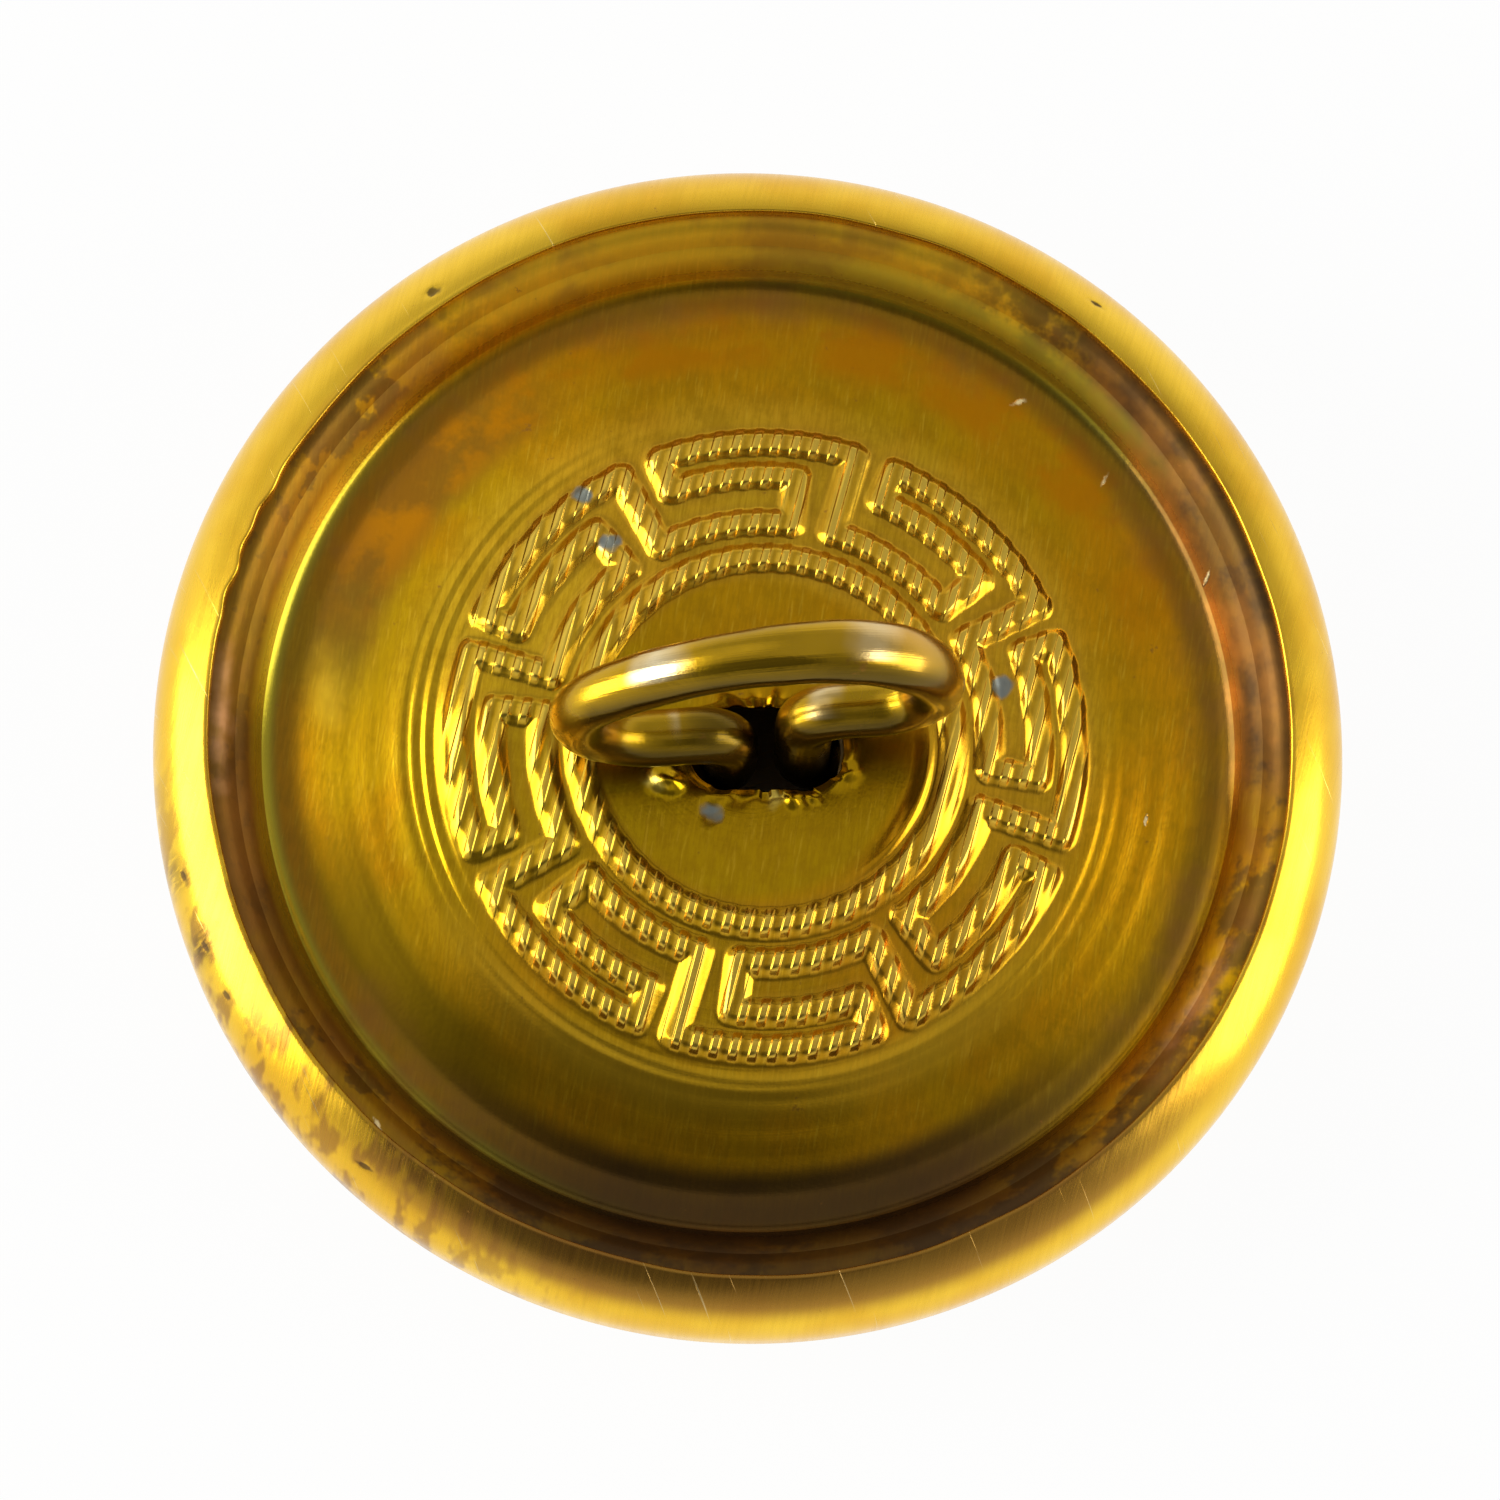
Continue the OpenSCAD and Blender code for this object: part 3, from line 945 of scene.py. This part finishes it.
# Radii over which zones of colour on the plate fade in, and then out
DISC_OUT = (3.3, 2.9)
BAND_ZONE = ((3.0, 3.4), (7.2, 6.4))
NEAR_LIGHTER_IN = (6.2, 6.6)
NEAR_LIGHTER_OUT = (7.6, 6.8)
CROWN_ZONE = ((7.2, 7.9), (9.0, 8.6))
WARM_ZONE = ((7.3, 7.9), (9.2, 8.9))
TROUGH_ZONE = ((8.45, 9.0), (9.4, 9.15))
GREEN_REFLECTION_ZONE = ((9.05, 9.3), (9.7, 9.45))
MOSS_ZONE = ((9.15, 9.4), (9.95, 9.7))
WALL_IN = (9.4, 9.75)

# Painted shade on the crown, where the left light's reflection ends: direction, where it fades in,
# colour and strength
PAINTED_CROWN_SHADE = [
    (146.0, 0.84, UMBER, 0.68),
    (213.0, 0.88, DUSK, 0.9),
]
# Painted rose reflections on the wall: direction and radius
ROSE_REFLECTIONS = [
    (178.0, 10.2),
    (-31.0, 9.95),
]


def plate_middle(f, r):
    """The plate's colour from its middle out to the crown: grain, a left part painted greener for
    the light, ridges painted paler for wear and highlight, and darker grooves.
    """
    cloudy = f.patches(0.3, 3.0, 0.55, (4.0, 1.0), 0.35, 0.68)
    f.tint(OLIVE, cloudy, 0.6)
    # The left part is painted greener, for the tint of the light from the left
    left = f.times(f.facing(178, 0.55, 0.95), f.ranged(r, 8.7, 8.0))
    f.tint(OLIVE, left, 0.7)
    warm = f.patches(0.24, 3.0, 0.6, (9.0, 3.0), 0.48, 0.64)
    f.tint(EMBER, warm, 0.55)
    band = f.between(r, *BAND_ZONE)
    f.tint(GOLD, band, f.facing(75, -0.6, 0.4, 0.1, 0.42))
    near_side = f.facing(-90, -0.6, 0.6, 0.3, 0.75)
    f.tint(OLIVE, f.ranged(r, *DISC_OUT), near_side)
    mottle = f.ranged(f.noise(1.5, 5.0, 0.7), 0.42, 0.66)
    f.tint(SMOKE, mottle, 0.4)
    grain = f.streaks(KNURL_ANGLE + 6, 0.5, 0.07, 0.35, 0.68, 5.0)
    f.tint(SMOKE, grain, 0.35)
    pale_grain = f.streaks(KNURL_ANGLE + 6, 0.6, 0.06, 0.55, 0.75, 8.0)
    f.tint(GOLD, pale_grain, 0.3)
    # The ridges are painted paler: partly wear, partly painted highlight
    f.tint(STRAW, f.fact("wear_and_sheen"), 0.65)
    # Darker in the knurl grooves and along the ribbons' feet
    f.tint(BROWN, f.fact("groove_and_foot"), 0.75)


def plate_crown(f, r):
    """A lighter part toward the low side, painted shade where the left light's reflection ends, and
    warm parts of the crown.
    """
    # Lighter toward the low side, just outside the ornament
    low_side = f.facing(-88, 0.3, 0.9, 0.0, 0.4)
    near_lighter = f.times(f.ranged(r, *NEAR_LIGHTER_OUT), low_side)
    f.tint(GOLD, near_lighter, f.ranged(r, *NEAR_LIGHTER_IN))
    for angle, low, dark, share in PAINTED_CROWN_SHADE:
        turn = f.facing(angle, low, 0.99, 0.0, share)
        f.tint(dark, turn, f.between(r, *CROWN_ZONE))
    far_side = f.facing(88, 0.15, 0.6, 0.0, 0.85)
    warm = f.times(f.between(r, *WARM_ZONE), far_side)
    uneven = f.patches(0.7, 4.0, 0.6, (5.0, 2.0), 0.4, 0.58, 0.35, 1.0)
    f.tint(EMBER, warm, uneven)


def plate_wall(f, r, wall):
    """Stains and darker patches on the wall that rises to the rim, painted shade and light on it,
    painted rose reflections, a painted green reflection at its foot, and a green band.
    """
    patches = f.patches(0.35, 3.0, 0.6, (2.0, 6.0), 0.42, 0.6)
    patches = f.times(patches, f.facing(90, 0.9, 0.5))
    f.tint(RUSSET, f.times(wall, patches), 0.8)
    left_side = f.facing(180, 0.5, 0.95, 0.0, 0.65)
    shade = f.patches(0.8, 4.0, 0.65, (1.0, 8.0), 0.44, 0.58, 0.0, 0.75)
    shade = f.times(shade, f.facing(95, 0.97, 0.75))
    # The wall is painted lighter toward its top
    f.tint(GOLD, wall, f.facing(88, 0.7, 0.95, 0.0, 0.55))
    # Painted shade on the left of the wall, and darker patches away from its top
    f.tint(UMBER, wall, f.math("MAXIMUM", left_side, shade))
    # Painted shade at the wall's foot on the right, where the left light's reflection would show
    right_side = f.facing(22, 0.78, 0.95, 0.0, 0.88)
    f.tint(UMBER, f.ranged(r, 9.15, 9.35), right_side)
    for angle, reach in ROSE_REFLECTIONS:
        rose_reflection = f.spot(at_turn(reach, angle, 4.0), (0.35, 2.2, 1.5), angle, -0.3)
        f.tint(ROSE, rose_reflection, 0.75)
    # A painted green reflection at the wall's foot, on the left
    green_reflection = f.times(f.between(r, *GREEN_REFLECTION_ZONE), f.facing(196, 0.3, 0.8))
    f.tint(MOSS, green_reflection, 0.85)
    moss = f.times(f.between(r, *MOSS_ZONE), f.facing(64, 0.84, 0.97))
    f.tint(MOSS, moss, 0.6)


def plate_gutter(f, r):
    """A painted highlight, a dark ring and a stain in the gutter, and painted shade on its low
    side.
    """
    painted_highlight = f.spot((-8.15, 1.2, 3.6), (0.6, 1.3, 1.0), 0.0, -0.2)
    f.tint(GOLD, painted_highlight, 0.5)
    f.tint(UMBER, f.between(r, *TROUGH_ZONE), 0.5)
    stain = f.times(f.ranged(r, 8.0, 9.0), f.ranged(f.noise(0.45, 4.0, 0.6), 0.45, 0.65))
    f.tint(BROWN, stain, 0.5)
    # Painted shade on the gutter's low side
    low = f.times(f.facing(-88, 0.62, 0.97), f.ranged(r, 8.0, 8.5))
    f.tint(UMBER, low, 0.85)


def flat_spots(f, marks, z, depth, inner):
    """One mask for marks on the plate, each given as place, length, width and direction."""
    return f.math("MAXIMUM", *[
        f.spot((x, y, z), (length / 2, width / 2, depth), angle, inner)
        for x, y, length, width, angle in marks
    ])


def plate_brass():
    """Stamped brass, olive and amber, with stain in the gutter, spots of tarnish and nicks, and
    painted shadow and glints by the slot.
    """
    f = Finish("plate_brass_finish", AMBER)
    r = f.axis_distance()
    wall = f.ranged(r, *WALL_IN)
    brushed = f.streaks(KNURL_ANGLE, 1.6, 0.07, 0.3, 0.75)
    plate_middle(f, r)
    plate_crown(f, r)
    plate_wall(f, r, wall)
    plate_gutter(f, r)
    specks = f.ranged(f.noise(2.6, 4.0, 0.7), 0.67, 0.74)
    f.tint(BROWN, specks, 0.55)
    # Painted shadow beside the slot, under the loop
    for mark in SLOT_SHADOWS:
        f.tint(UMBER, flat_spots(f, [mark], 4.4, 1.2, -0.1), 0.85)
    # Painted glints on the raised metal by the slot
    for mark in PAINTED_SLOT_GLINTS:
        f.tint(BRIGHT, flat_spots(f, [mark], 4.4, 1.2, 0.0), 0.9)
    spots = flat_spots(f, TARNISH_SPOTS, 4.3, 0.8, 0.55)
    f.tint(TARNISH, spots, 0.85)
    nicks = flat_spots(f, PALE_NICKS, 4.0, 1.2, 0.4)
    f.tint(PALE, nicks, 0.8)
    f.bump(f.times(f.knurl_lines(0.0, 0.6), f.fact("ribbon")), 0.026, 0.9)
    f.bump(brushed, 0.0003, 0.5)
    f.bump(f.turned_lines(0.16, 0.3, 0.7), 0.0008, 0.7)
    f.bump(f.noise(12.0, 3.0), 0.003, 0.5)
    f.bump(nicks, 0.02, 0.8)
    f.bump(f.times(spots, -1.0), 0.01, 0.6)
    rough = f.math("ADD", f.times(brushed, 0.02), 0.20)
    dull = f.math("MAXIMUM", spots, wall, f.fact("groove_and_foot"))
    rough = f.math("ADD", rough, f.times(dull, 0.22))
    return f.done(rough, f.math("SUBTRACT", 1.0, f.times(nicks, 0.85)))


# Marks on the plate: place, length, width and direction. First, painted shadow round the slot
SLOT_SHADOWS = [
    (1.75, 0.1, 2.6, 0.95, 28.0),
    (-1.3, -0.35, 1.6, 0.7, -14.0),
]

# Painted glints on the raised metal by the slot
PAINTED_SLOT_GLINTS = [
    (-1.9, -0.8, 0.8, 0.5, -35.0),
    (0.5, -1.1, 0.75, 0.45, 65.0),
]

# Blue-grey spots of tarnish on the plate
TARNISH_SPOTS = [
    (-3.21, 4.89, 0.48, 0.48, 0.0),
    (-2.68, 3.9, 0.52, 0.52, 0.0),
    (4.85, 1.08, 0.6, 0.6, 0.0),
    (-0.78, -1.45, 0.6, 0.6, 0.0),
    (8.7, -2.9, 0.32, 0.32, 0.0),
    (9.05, -1.4, 0.28, 0.28, 0.0),
]

# Pale nicks in the plate
PALE_NICKS = [
    (5.3, 6.95, 0.5, 0.16, 20.0),
    (6.95, 5.4, 0.45, 0.12, 65.0),
    (8.9, 3.4, 0.4, 0.1, 70.0),
    (7.65, -1.4, 0.3, 0.1, 80.0),
    (-7.15, -7.5, 0.55, 0.12, 115.0),
]


def wire_brass():
    """Drawn wire with fine draw lines, lacquered like the sheet but smoother, with painted shade
    and painted highlights.
    """
    f = Finish("wire_brass_finish", WIRE_GOLD)
    drawn = f.streaks(YAW, 3.0, 0.05, 0.3, 0.75)
    cloudy = f.ranged(f.noise(0.55, 3.0), 0.35, 0.7)
    f.tint(WIRE_OLIVE, cloudy)
    f.tint(WIRE_ROSE, f.spot((2.6, 0.9, 9.6), (1.8, 1.2, 1.6), 0.0, 0.0))
    # The wire's lower side, legs and low runs are painted in shade
    f.tint(WIRE_SHADE, f.fact("dirt_and_shade"), 0.9)
    unshaded = f.ranged(f.fact("dirt_and_shade"), 0.25, 0.0)
    # Painted highlights on the loop, kept off its painted shade
    for place, size, share in WIRE_HIGHLIGHTS:
        f.tint(WIRE_HIGHLIGHT, f.spot(place, size, 0.0, 0.0), unshaded, share)
    specks = f.ranged(f.noise(2.4, 4.0, 0.7), 0.66, 0.74)
    f.tint(BROWN, specks, 0.5)
    f.bump(drawn, 0.003, 0.6)
    f.bump(f.noise(9.0, 3.0), 0.006, 0.5)
    rough = f.math("ADD", f.times(cloudy, 0.08), 0.23)
    rough = f.math("SUBTRACT", rough, f.times(f.fact("wear_and_sheen"), 0.06))
    f.coat(0.12, 0.1)
    return f.done(rough)


# Painted highlights on the loop: centre, reach and strength
WIRE_HIGHLIGHTS = [
    ((-1.8, 0.3, 9.8), (1.0, 1.0, 1.0), 1.0),
    ((2.2, 0.7, 10.0), (0.8, 1.2, 1.0), 0.6),
    ((-1.1, 0.1, 6.2), (0.7, 1.5, 1.4), 1.0),
    ((1.4, 0.4, 6.3), (0.6, 1.5, 1.4), 1.0),
]


def washer_steel():
    """Steel under a brown oxide, with turning lines and a few rust freckles."""
    f = Finish("washer_steel_finish", OXIDE_PALE)
    lines = f.noise(1.0, 2.0, 0.6, f.framed(angle=12.0, size=(1.4, 0.06, 1.4)))
    freckles = f.ranged(f.noise(3.0, 4.0, 0.7), 0.62, 0.72)
    f.tint(OXIDE_DARK, lines)
    f.tint(RUST, freckles, 0.7)
    f.bump(lines, 0.004, 0.7)
    f.bump(freckles, 0.01, 0.6)
    rough = f.math("ADD", f.times(freckles, 0.3), 0.55)
    return f.done(rough, 0.25)


def filler_board():
    """Grey-brown pressed board with short fibres."""
    f = Finish("filler_board_finish", BOARD)
    fibres = f.noise(1.0, 3.0, 0.6, f.framed(angle=30.0, size=(0.9, 0.08, 0.5)))
    crossed = f.noise(1.0, 3.0, 0.6, f.framed(angle=118.0, size=(0.7, 0.07, 0.5)))
    mottle = f.ranged(f.noise(1.2, 4.0, 0.65), 0.3, 0.7)
    f.tint(BOARD_DARK, mottle)
    f.tint(BOARD_FIBRE, f.ranged(fibres, 0.58, 0.72))
    f.bump(fibres, 0.03, 0.8)
    f.bump(crossed, 0.03, 0.6)
    return f.done(f.math("ADD", f.times(mottle, 0.1), 0.85), 0.0)


def floor_white():
    """A plain pale table. What the camera and the metal see of it is mostly even white."""
    f = Finish("floor_white", (0.9, 0.9, 0.88))
    f.put(f.shader, **{"Specular IOR Level": 0.1})
    even = f.add("ShaderNodeEmission")
    f.put(even, Color=(1.0, 1.0, 1.0, 1.0), Strength=1.0)
    path = f.add("ShaderNodeLightPath")
    rays = [path.outputs[f"Is {kind} Ray"] for kind in ("Camera", "Glossy", "Transmission")]
    seen = f.math("MAXIMUM", *rays)
    mix = f.add("ShaderNodeMixShader")
    f.feed(mix.inputs[0], f.times(seen, 0.95))
    f.feed(mix.inputs[1], f.shader.outputs[0])
    f.feed(mix.inputs[2], even.outputs[0])
    f.put(f.tree.nodes["Material Output"], Surface=mix.outputs[0])
    return f.done(0.8, 0.0)


# ---- set, light and camera

# The table's upper face, as radius and height, and its thickness
TABLE_LINE = ((0.5, 0.0), (20.0, 0.0), (200.0, 0.0), (900.0, 0.0), (1000.0, 12.0))
TABLE_T = 5.0


def floor():
    """A wide flat table under the button, swept up a little at its far edge."""
    angle = np.arange(64) * 360.0 / 64
    rings = np.array([lathe_ring(r, z, angle) for r, z in TABLE_LINE])
    rings += np.array([0.0, 0.0, cad_box[0].z / MM])
    under = rings[::-1] - np.array([0.0, 0.0, TABLE_T])
    obj = skin("table_floor", np.concatenate([rings, under]), caps=True)
    obj.data.materials.append(floor_white())


# The room's light. Each row is a direction, the cosines from it between which the light
# changes, and the strengths there: up the room, a bright part at the far left, and the dim
# parts behind the camera and to its right
ROOM_LIGHT = [
    ((0, 0, 1), 0.12, 0.45, 0.85, 0.46),
    ((-0.55, 0.42, 0.72), 0.88, 0.965, 1.0, 1.7),
    ((-0.24, -0.57, 0.79), 0.86, 0.95, 1.0, 0.24),
    ((0.39, -0.48, 0.78), 0.89, 0.98, 1.0, 0.55),
]


def world():
    """An even room, brighter near the horizon than overhead."""
    made = bpy.data.worlds.new("soft_room")
    bpy.context.scene.world = made
    made.use_nodes = True
    f = Nodes(made.node_tree)
    where = f.add("ShaderNodeTexCoord").outputs["Generated"]
    height, left, camera_side, camera_right = [
        f.ranged(f.along(where, Vector(direction).normalized()), *edges)
        for direction, *edges in ROOM_LIGHT
    ]
    sky = f.tree.nodes["Background"]
    sky.inputs["Color"].default_value = (1.0, 0.99, 0.96, 1.0)
    f.feed(sky.inputs["Strength"], f.times(height, left, f.times(camera_side, camera_right)))


def softbox(name, direction, distance, width, height, radiance, colour):
    """A rectangular area lamp aimed at the button, set by how bright its face is."""
    lamp = bpy.data.lights.new(name, "AREA")
    lamp.shape = "RECTANGLE"
    lamp.size = width
    lamp.size_y = height
    lamp.energy = radiance * math.pi * width * height
    lamp.color = colour
    obj = bpy.data.objects.new(name, lamp)
    bpy.context.scene.collection.objects.link(obj)
    away = Vector(direction).normalized()
    centre = (cad_box[0] + cad_box[1]) / 2
    obj.location = centre + away * distance
    obj.rotation_euler = (-away).to_track_quat("-Z", "Z").to_euler()


# How far the camera leans from straight overhead, and which way round it stands, in degrees
CAMERA_TILT = 11.5
CAMERA_TURN = 9.3
# Width of what the camera sees at the rim, and its lens and sensor in mm
VIEW_WIDTH = 29.0 * MM
VIEW_LENS = 300.0
SENSOR = 36.0
# How far right and up of the button's middle the camera aims, in mm
AIM_RIGHT = 0.03
AIM_UP = 0.06


def camera():
    """Looks almost straight down on the back, from a little in front and to the left."""
    data = bpy.data.cameras.new("camera")
    data.lens = VIEW_LENS
    data.sensor_width = SENSOR
    obj = bpy.data.objects.new("camera", data)
    bpy.context.scene.collection.objects.link(obj)
    tilt = math.radians(CAMERA_TILT)
    turn = math.radians(CAMERA_TURN)
    back = Vector((
        -math.sin(tilt) * math.sin(turn),
        -math.sin(tilt) * math.cos(turn),
        math.cos(tilt),
    ))
    right = (Vector((1, 0, 0)) - back * back.x).normalized()
    up = back.cross(right)
    target = Vector((0.0, 0.0, ROLL_Z * MM)) + right * AIM_RIGHT * MM + up * AIM_UP * MM
    distance = VIEW_WIDTH * VIEW_LENS / SENSOR
    turned = Matrix((right, up, back)).transposed().to_4x4()
    obj.matrix_world = Matrix.Translation(target + back * distance) @ turned
    data.clip_start = distance * 0.1
    data.clip_end = distance * 20
    bpy.context.scene.camera = obj


# ---- build

def dress(piece, node, body, material):
    """Gives a piece its finish and lets it stand for its CAD node."""
    piece.data.materials.append(material)
    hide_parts(node)
    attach(piece, body)


def refinish(node, material):
    """Gives a finish to a CAD node that stays in view."""
    for place in frame["nodes"][node].material_slots:
        place.material = material


camera()
world()
floor()
softbox("left_light", (-1.0, -0.03, 0.30), 0.26, 0.28, 0.18, 5.0, (1.0, 1.0, 0.94))
softbox("right_light", (1.0, -0.14, 0.18), 0.26, 0.34, 0.14, 3.5, (1.0, 0.98, 0.90))

dress(front_shell(), "front_shell", "button", shell_brass())
dress(back_plate(), "back_plate", "button", plate_brass())
dress(wire_shank(), "wire_shank", "shank", wire_brass())
refinish("anchor_washer", washer_steel())
refinish("filler_board", filler_board())

bpy.context.scene.view_settings.view_transform = "Standard"
